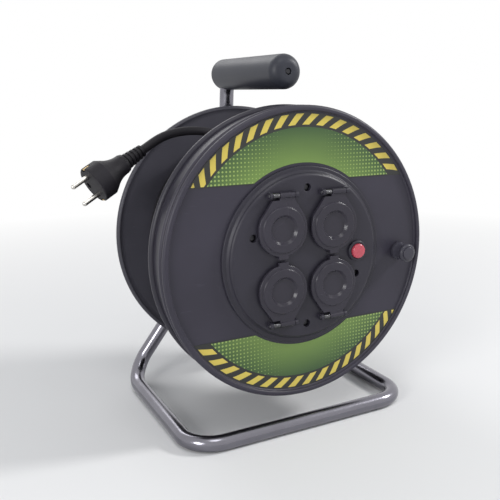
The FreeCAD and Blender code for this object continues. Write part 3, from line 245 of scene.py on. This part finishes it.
# Tones as shares of a finish's own colour
PLASTIC_PATCHES = (0.86, 1.14)
COLOURED_PATCHES = (0.9, 1.1)
SCUFF_TONE = 1.9
WORN_EDGE_TONE = 2.4
DUST_TONE = 2.1

SCUFF_STARTS = 0.62
SCUFF_FULL = 0.74
SCUFF_ROUGHNESS = 0.15
DUST_STARTS = 0.45
DUST_FULL = 0.75


def shade(colour, factor):
    """The colour, lighter or darker by a factor."""
    return tuple(min(1.0, part * factor) for part in colour)


class Finish:
    """A material with its shader and the few nodes that the finishes below share."""

    def __init__(self, name, colour, roughness, metallic=0.0):
        self.material = bpy.data.materials.new(name)
        self.material.use_nodes = True
        self.tree = self.material.node_tree
        self.shader = self.tree.nodes["Principled BSDF"]
        self.set_shader("Base Color", (*colour, 1))
        self.set_shader("Roughness", roughness)
        self.set_shader("Metallic", metallic)
        self.rounded = None
        self.place = self.add("ShaderNodeTexCoord").outputs["Object"]

    def set_shader(self, socket, value):
        self.shader.inputs[socket].default_value = value

    def add(self, kind, **settings):
        node = self.tree.nodes.new(kind)
        for key, value in settings.items():
            setattr(node, key, value)
        return node

    def join(self, source, target):
        self.tree.links.new(source, target)

    def stretched(self, scale):
        """The place, scaled for marks that are longer one way than the other."""
        node = self.add("ShaderNodeMapping")
        node.inputs["Scale"].default_value = scale
        self.join(self.place, node.inputs["Vector"])
        return node.outputs["Vector"]

    def noise(self, scale, detail=4.0, roughness=0.55, vector=None):
        node = self.add("ShaderNodeTexNoise")
        node.inputs["Scale"].default_value = scale
        node.inputs["Detail"].default_value = detail
        node.inputs["Roughness"].default_value = roughness
        self.join(vector or self.place, node.inputs["Vector"])
        return node.outputs["Fac"]

    def spread(self, value, low, high, to_low=0.0, to_high=1.0):
        """The value, with the range from low to high spread over to_low to to_high."""
        node = self.add("ShaderNodeMapRange")
        node.inputs["From Min"].default_value = low
        node.inputs["From Max"].default_value = high
        node.inputs["To Min"].default_value = to_low
        node.inputs["To Max"].default_value = to_high
        self.join(value, node.inputs["Value"])
        return node.outputs["Result"]

    def maths(self, operation, first, second=None):
        """Result of one operation on values that are sockets or numbers."""
        node = self.add("ShaderNodeMath", operation=operation)
        for socket, value in zip(node.inputs, (first, second)):
            if value is None:
                continue
            if isinstance(value, (int, float)):
                socket.default_value = value
            else:
                self.join(value, socket)
        return node.outputs[0]

    def mix(self, share, first, second):
        """Colour between two that are sockets or tuples."""
        node = self.add("ShaderNodeMix", data_type="RGBA")
        sockets = {s.name + s.type: s for s in node.inputs}
        self.join(share, node.inputs[0])
        for socket, value in ((sockets["ARGBA"], first), (sockets["BRGBA"], second)):
            if isinstance(value, tuple):
                socket.default_value = (*value, 1)
            else:
                self.join(value, socket)
        return next(s for s in node.outputs if s.type == "RGBA")

    def patches(self, noise, colour, tones):
        """The colour in darker and lighter patches, as the noise goes."""
        share = self.spread(noise, NOISE_LOW, NOISE_HIGH)
        return self.mix(share, shade(colour, tones[0]), shade(colour, tones[1]))

    def gloss(self, noise, roughness, smoother, rougher):
        """Roughness that the noise changes, down by smoother and up by rougher."""
        return self.spread(noise, NOISE_LOW, NOISE_HIGH, roughness - smoother, roughness + rougher)

    def paint(self, colour):
        self.join(colour, self.shader.inputs["Base Color"])

    def rough(self, value):
        self.join(value, self.shader.inputs["Roughness"])

    def soft_edges(self, radius):
        """Normal that rounds the edges off, for the bump to build on."""
        node = self.add("ShaderNodeBevel", samples=EDGE_SAMPLES)
        node.inputs["Radius"].default_value = radius
        self.rounded = node.outputs["Normal"]

    def edge_wear(self):
        """0 on flat ground, rising to 1 on an edge."""
        dot = self.add("ShaderNodeVectorMath", operation="DOT_PRODUCT")
        self.join(self.rounded, dot.inputs[0])
        self.join(self.add("ShaderNodeNewGeometry").outputs["Normal"], dot.inputs[1])
        return self.spread(dot.outputs["Value"], EDGE_WEAR_STARTS, EDGE_WEAR_FULL)

    def bump(self, height, distance, strength):
        node = self.add("ShaderNodeBump")
        node.inputs["Strength"].default_value = strength
        node.inputs["Distance"].default_value = distance
        self.join(height, node.inputs["Height"])
        if self.rounded:
            self.join(self.rounded, node.inputs["Normal"])
        self.join(node.outputs["Normal"], self.shader.inputs["Normal"])


def moulded(name, colour, roughness, grain=900.0, grain_depth=0.00006, scuffs=0.5):
    """Injection-moulded plastic: fine spark grain, slow changes of gloss, faint scuffs and
    edges that are rounded off and worn lighter."""
    finish = Finish(name, colour, roughness)
    finish.set_shader("Specular IOR Level", PLASTIC_SPECULAR)
    finish.soft_edges(EDGE_ROUNDING)
    slow = finish.noise(scale=9.0, detail=3.0)
    along = finish.stretched((1.0, 1.0, 7.0))
    scratch = finish.noise(scale=60.0, detail=6.0, roughness=0.7, vector=along)
    mark = finish.spread(scratch, SCUFF_STARTS, SCUFF_FULL, to_high=scuffs)
    scuffed = finish.mix(mark, finish.patches(slow, colour, PLASTIC_PATCHES), shade(colour, SCUFF_TONE))
    uneven = finish.spread(scratch, STEEP_LOW, STEEP_HIGH, to_low=0.25, to_high=0.9)
    edge = finish.maths("MULTIPLY", finish.edge_wear(), uneven)
    finish.paint(finish.mix(edge, scuffed, shade(colour, WORN_EDGE_TONE)))
    gloss = finish.gloss(slow, roughness, smoother=0.05, rougher=0.07)
    finish.rough(finish.maths("ADD", gloss, finish.maths("MULTIPLY", mark, SCUFF_ROUGHNESS)))
    finish.bump(finish.noise(scale=grain, detail=2.0), distance=grain_depth, strength=0.6)
    return finish.material


def rubber(name, colour, roughness):
    """Cable and plug rubber: matt, slightly dusty, with shallow dimples."""
    finish = Finish(name, colour, roughness)
    finish.set_shader("Specular IOR Level", RUBBER_SPECULAR)
    cloud = finish.noise(scale=35.0, detail=5.0, roughness=0.6)
    dust = finish.spread(cloud, DUST_STARTS, DUST_FULL, to_high=0.55)
    finish.paint(finish.mix(dust, colour, shade(colour, DUST_TONE)))
    finish.rough(finish.gloss(cloud, roughness, smoother=0.08, rougher=0.1))
    finish.bump(finish.noise(scale=700.0, detail=3.0), distance=0.00008, strength=0.5)
    return finish.material


def bright_metal(name, colour, roughness, mottling=0.18):
    """Plated metal: slight mottling, and fine marks that spread its gloss."""
    finish = Finish(name, colour, roughness, metallic=1.0)
    cloud = finish.noise(scale=45.0, detail=4.0, roughness=0.5)
    marks = finish.noise(scale=420.0, detail=4.0, roughness=0.6)
    mottle = finish.spread(cloud, STEEP_LOW, STEEP_HIGH)
    finish.paint(finish.mix(mottle, shade(colour, 1 - mottling), colour))
    finish.rough(finish.gloss(marks, roughness, smoother=0.04, rougher=0.06))
    finish.bump(marks, distance=0.00001, strength=0.4)
    return finish.material


def glossy_coloured(name, colour, roughness):
    """Glossy coloured plastic of the button and the shutters."""
    finish = Finish(name, colour, roughness)
    slow = finish.noise(scale=160.0, detail=3.0)
    finish.paint(finish.patches(slow, colour, COLOURED_PATCHES))
    finish.rough(finish.gloss(slow, roughness, smoother=0.05, rougher=0.08))
    finish.set_shader("Coat Weight", 0.3)
    finish.set_shader("Coat Roughness", 0.15)
    finish.bump(finish.noise(scale=1500.0, detail=2.0), distance=0.00003, strength=0.4)
    return finish.material


DRUM_COLOUR = (0.029, 0.027, 0.038)
COVER_COLOUR = (0.038, 0.035, 0.050)
# The drum plastic made lighter for the rear flange: painted light on its inner face, which sits in
# shade between the flanges
REAR_FLANGE_PAINTED_LIGHT_COLOUR = (0.060, 0.058, 0.072)
LID_COLOUR = (0.033, 0.030, 0.042)
SOCKET_COLOUR = (0.020, 0.020, 0.024)
KNOB_COLOUR = (0.052, 0.050, 0.066)
GRIP_COLOUR = (0.031, 0.033, 0.044)
CUTOUT_COLOUR = (0.030, 0.028, 0.028)
NYLON_COLOUR = (0.62, 0.60, 0.54)
CABLE_COLOUR = (0.012, 0.011, 0.014)
SEAL_COLOUR = (0.015, 0.014, 0.016)
PLUG_COLOUR = (0.010, 0.009, 0.012)
TUBE_COLOUR = (0.22, 0.215, 0.245)
ZINC_COLOUR = (0.50, 0.50, 0.52)
BLACKENED_COLOUR = (0.055, 0.055, 0.060)
SPRING_COLOUR = (0.20, 0.20, 0.21)
BRASS_COLOUR = (0.60, 0.42, 0.16)
NICKEL_COLOUR = (0.66, 0.64, 0.60)
BUTTON_COLOUR = (0.50, 0.060, 0.090)
SHUTTER_COLOUR = (0.03, 0.30, 0.10)

material_of_slot = {
    "black_plastic": moulded("drum_plastic", DRUM_COLOUR, roughness=0.38),
    "grey_black_plastic": moulded("cover_plastic", COVER_COLOUR, roughness=0.40, grain=1100.0),
    "socket_black": moulded("socket_plastic", SOCKET_COLOUR, roughness=0.34, grain=1300.0),
    "lid_black": moulded("lid_plastic", LID_COLOUR, roughness=0.25, grain=1200.0,
                         grain_depth=0.00003, scuffs=0.4),
    "grip_plastic": moulded("grip_plastic", GRIP_COLOUR, roughness=0.42, grain=700.0,
                            grain_depth=0.00008),
    "bright_tube": bright_metal("plated_tube", TUBE_COLOUR, roughness=0.20, mottling=0.10),
    "steel": bright_metal("zinc_plated_steel", ZINC_COLOUR, roughness=0.34),
    "brass_contact": bright_metal("brass", BRASS_COLOUR, roughness=0.30),
    "nickel_pin": bright_metal("nickel_plate", NICKEL_COLOUR, roughness=0.22),
    "cable_rubber": rubber("cable_rubber", CABLE_COLOUR, roughness=0.62),
    "seal_rubber": rubber("seal_rubber", SEAL_COLOUR, roughness=0.7),
    "red_button": glossy_coloured("red_button", BUTTON_COLOUR, roughness=0.20),
    "green_shutter": glossy_coloured("green_shutter", SHUTTER_COLOUR, roughness=0.35),
    "bush_nylon": moulded("bush_nylon", NYLON_COLOUR, roughness=0.45),
    "plug_rubber": rubber("plug_rubber", PLUG_COLOUR, roughness=0.55),
    "cutout_plastic": moulded("cutout_plastic", CUTOUT_COLOUR, roughness=0.4),
    "knob_plastic": moulded("knob_plastic", KNOB_COLOUR, roughness=0.28, grain=1000.0),
}

# Nodes whose own finish differs from the rest of their slot. The rear flange's is the drum plastic made
# lighter, as painted light on its inner face, which sits in shade between the flanges.
dark_steel = bright_metal("blackened_steel", BLACKENED_COLOUR, roughness=0.35)
own_material = {
    "panel_screws": dark_steel,
    "grip_screw": dark_steel,
    "lid_springs": bright_metal("spring_steel", SPRING_COLOUR, roughness=0.30),
    "rear_flange": moulded("rear_flange_painted_light_plastic", REAR_FLANGE_PAINTED_LIGHT_COLOUR, roughness=0.38),
}
slot_of_node = {row["node"]: row["material_slot"] for row in frame["record"]["subparts"]}
for name, thing in nodes.items():
    thing.data.materials.clear()
    thing.data.materials.append(own_material.get(name, material_of_slot[slot_of_node[name]]))
for cord in (winding, tail):
    cord.data.materials.append(material_of_slot["cable_rubber"])


# Labels on the front disc

LABEL_THICKNESS = 0.0003
LABEL_GAP = 0.00005
LABEL_CHORD = 0.073
LABEL_ARC_STEPS = 72
LABEL_BORDER = 0.0011
HAZARD_BAND = 0.0125
LABEL_BAND_RADIUS = LABEL_OUTER_RADIUS - HAZARD_BAND
STRIPES_ALL_ROUND = 52
STRIPE_SLANT = 0.78 / HAZARD_BAND
STRIPE_SHARE = 0.5
FIELD_START_RADIUS = 0.081
CLOUD_SHARE = 0.35
CLOUD_MIDDLE = 0.17
DOT_PITCH = 0.0075
DOT_EDGE = 0.15
DOT_SHARE = 0.75
DOTS_AT_MIDDLE = -1.15
DOTS_AT_ENDS = 0.10
LABEL_DARK = (0.010, 0.011, 0.009)
LABEL_YELLOW = (0.64, 0.51, 0.085)
LABEL_RIM_GREEN = (0.030, 0.080, 0.018)
LABEL_PANEL_GREEN = (0.190, 0.310, 0.060)
LABEL_DOT_GREEN = (0.360, 0.490, 0.130)


def label_material():
    """Printed film: a green field, lighter towards the panel, with dots that grow towards its
    ends, a hazard band along the rim and a dark border."""
    finish = Finish("printed_label", LABEL_PANEL_GREEN, roughness=0.32)
    maths = finish.maths
    split = finish.add("ShaderNodeSeparateXYZ")
    finish.join(finish.place, split.inputs["Vector"])
    x = split.outputs["X"]
    z = maths("SUBTRACT", split.outputs["Z"], AXIS_HEIGHT)
    radius = maths("SQRT", maths("ADD", maths("MULTIPLY", x, x), maths("MULTIPLY", z, z)))

    outward = finish.spread(radius, FIELD_START_RADIUS, LABEL_BAND_RADIUS)
    cloud = maths("MULTIPLY", finish.noise(scale=12.0, detail=3.0, roughness=0.5), CLOUD_SHARE)
    share = maths("SUBTRACT", maths("ADD", outward, cloud), CLOUD_MIDDLE)
    field = finish.mix(share, LABEL_PANEL_GREEN, LABEL_RIM_GREEN)

    wave = 2 * math.pi / DOT_PITCH
    rising = maths("SINE", maths("MULTIPLY", maths("ADD", x, z), wave))
    falling = maths("SINE", maths("MULTIPLY", maths("SUBTRACT", x, z), wave))
    from_middle = maths("ABSOLUTE", x)
    grown = finish.spread(from_middle, 0.0, LABEL_OUTER_RADIUS, DOTS_AT_MIDDLE, DOTS_AT_ENDS)
    dot = maths("ADD", maths("MULTIPLY", rising, falling), grown)
    in_dot = finish.spread(dot, 0.0, DOT_EDGE, to_high=DOT_SHARE)
    field = finish.mix(in_dot, field, LABEL_DOT_GREEN)

    turn = maths("MULTIPLY", maths("ARCTAN2", z, x), STRIPES_ALL_ROUND / (2 * math.pi))
    slanted = maths("ADD", turn, maths("MULTIPLY", radius, STRIPE_SLANT))
    stripe = maths("GREATER_THAN", maths("FRACT", slanted), STRIPE_SHARE)
    hazard = finish.mix(stripe, LABEL_DARK, LABEL_YELLOW)
    in_band = maths("GREATER_THAN", radius, LABEL_BAND_RADIUS)
    field = finish.mix(in_band, field, hazard)

    band_edge = maths("COMPARE", radius, LABEL_BAND_RADIUS)
    band_edge.node.inputs[2].default_value = LABEL_BORDER
    rim_edge = maths("GREATER_THAN", radius, LABEL_OUTER_RADIUS - LABEL_BORDER)
    chord_edge = maths("LESS_THAN", maths("ABSOLUTE", z), LABEL_CHORD + LABEL_BORDER)
    border = maths("MAXIMUM", maths("MAXIMUM", band_edge, rim_edge), chord_edge)
    finish.paint(finish.mix(border, field, LABEL_DARK))
    finish.set_shader("Coat Weight", 0.25)
    finish.set_shader("Coat Roughness", 0.2)
    finish.bump(finish.noise(scale=300.0, detail=2.0), distance=0.00002, strength=0.3)
    return finish.material


def arc_points(radius, start, end, steps):
    """Points (x, z) along an arc about the axis."""
    angles = [start + (end - start) * i / steps for i in range(steps + 1)]
    return [(radius * math.cos(angle), radius * math.sin(angle)) for angle in angles]


def make_label(name, side):
    """Film cut to a segment of the disc between a chord, the rim and the socket panel. The side
    is 1 for the segment above the axis and -1 for the one below it."""
    outer = math.asin(LABEL_CHORD / LABEL_OUTER_RADIUS)
    inner = math.asin(LABEL_CHORD / LABEL_INNER_RADIUS)
    rim = arc_points(LABEL_OUTER_RADIUS, outer, math.pi - outer, LABEL_ARC_STEPS)
    panel = arc_points(LABEL_INNER_RADIUS, math.pi - inner, inner, LABEL_ARC_STEPS // 2)
    mesh = bmesh.new()
    back = DISC_Y + LABEL_GAP
    face = mesh.faces.new([mesh.verts.new(drum_point(x, back, side * z)) for x, z in rim + panel])
    made = bmesh.ops.extrude_face_region(mesh, geom=[face])
    for vert in (g for g in made["geom"] if isinstance(g, bmesh.types.BMVert)):
        vert.co.y -= LABEL_THICKNESS
    bmesh.ops.triangulate(mesh, faces=[f for f in mesh.faces if len(f.verts) > 4])
    bmesh.ops.recalc_face_normals(mesh, faces=mesh.faces)
    data = bpy.data.meshes.new(name)
    mesh.to_mesh(data)
    mesh.free()
    label = add_object(name, data)
    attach(label, "drum")
    return label


printed = label_material()
for label in (make_label("label_upper", 1), make_label("label_lower", -1)):
    label.data.materials.append(printed)


# Floor, lights and background

FLOOR_HALF = 12.0
FLOOR_GREY = 0.80
FLOOR_GREY_CHANGE = 0.02
FLOOR_FADE_START = 0.35
FLOOR_FADE_END = 1.3
SKY_COLOUR = (0.92, 0.95, 1.0)
SKY_STRENGTH = 0.40
LIT_PLACE = drum_point(0, 0.08, 0)


def seen_ray(tree):
    """1 for a ray from the camera, off a glossy surface or through a clear one, and 0 for the
    rays that carry light to the object."""
    path = tree.nodes.new("ShaderNodeLightPath")
    seen = path.outputs["Is Camera Ray"]
    for kind in ("Is Glossy Ray", "Is Transmission Ray"):
        either = tree.nodes.new("ShaderNodeMath")
        either.operation = "MAXIMUM"
        tree.links.new(seen, either.inputs[0])
        tree.links.new(path.outputs[kind], either.inputs[1])
        seen = either.outputs[0]
    return seen


def plain_background():
    """Soft light from all round, with plain white wherever the background itself is seen."""
    world = bpy.data.worlds.new("studio")
    bpy.context.scene.world = world
    world.use_nodes = True
    tree = world.node_tree
    tree.nodes.clear()
    seen = seen_ray(tree)
    light = tree.nodes.new("ShaderNodeBackground")
    light.inputs["Color"].default_value = (*SKY_COLOUR, 1)
    light.inputs["Strength"].default_value = SKY_STRENGTH
    white = tree.nodes.new("ShaderNodeBackground")
    white.inputs["Color"].default_value = (1, 1, 1, 1)
    white.inputs["Strength"].default_value = 1.0
    choose = tree.nodes.new("ShaderNodeMixShader")
    out = tree.nodes.new("ShaderNodeOutputWorld")
    tree.links.new(seen, choose.inputs["Fac"])
    tree.links.new(light.outputs[0], choose.inputs[1])
    tree.links.new(white.outputs[0], choose.inputs[2])
    tree.links.new(choose.outputs[0], out.inputs["Surface"])


def make_floor():
    """Pale floor that turns to plain white, as the background is, well away from the object."""
    mesh = bpy.data.meshes.new("floor")
    half = FLOOR_HALF
    corners = [(-half, -half, 0), (half, -half, 0), (half, half, 0), (-half, half, 0)]
    mesh.from_pydata(corners, [], [(0, 1, 2, 3)])
    floor = add_object("floor", mesh)
    finish = Finish("floor", (FLOOR_GREY,) * 3, roughness=0.8)
    cloud = finish.noise(scale=1.5, detail=2.0)
    darker = (FLOOR_GREY - FLOOR_GREY_CHANGE,) * 3
    lighter = (FLOOR_GREY + FLOOR_GREY_CHANGE,) * 3
    finish.paint(finish.mix(cloud, darker, lighter))
    reach = finish.add("ShaderNodeVectorMath", operation="LENGTH")
    finish.join(finish.place, reach.inputs[0])
    far = finish.spread(reach.outputs["Value"], FLOOR_FADE_START, FLOOR_FADE_END)
    seen = seen_ray(finish.tree)
    white = finish.add("ShaderNodeEmission")
    choose = finish.add("ShaderNodeMixShader")
    finish.join(finish.maths("MULTIPLY", far, seen), choose.inputs["Fac"])
    finish.join(finish.shader.outputs[0], choose.inputs[1])
    finish.join(white.outputs[0], choose.inputs[2])
    finish.join(choose.outputs[0], finish.tree.nodes["Material Output"].inputs["Surface"])
    mesh.materials.append(finish.material)


def soft_lamp(name, place, size, power):
    """Round lamp facing the reel, with its size in metres and its power in watts."""
    data = bpy.data.lights.new(name, "AREA")
    data.shape = "DISK"
    data.size = size
    data.energy = power
    aim(add_object(name, data), place, LIT_PLACE)


plain_background()
make_floor()
soft_lamp("key_lamp", (1.3, -0.6, 1.1), size=0.35, power=16.0)
soft_lamp("fill_lamp", (-1.3, -0.7, 0.6), size=0.6, power=9.0)
soft_lamp("top_lamp", (-0.2, -0.8, 1.6), size=0.7, power=4.5)
soft_lamp("back_lamp", (-0.2, 1.4, 1.5), size=1.0, power=8.0)
bpy.context.scene.view_settings.view_transform = "Standard"
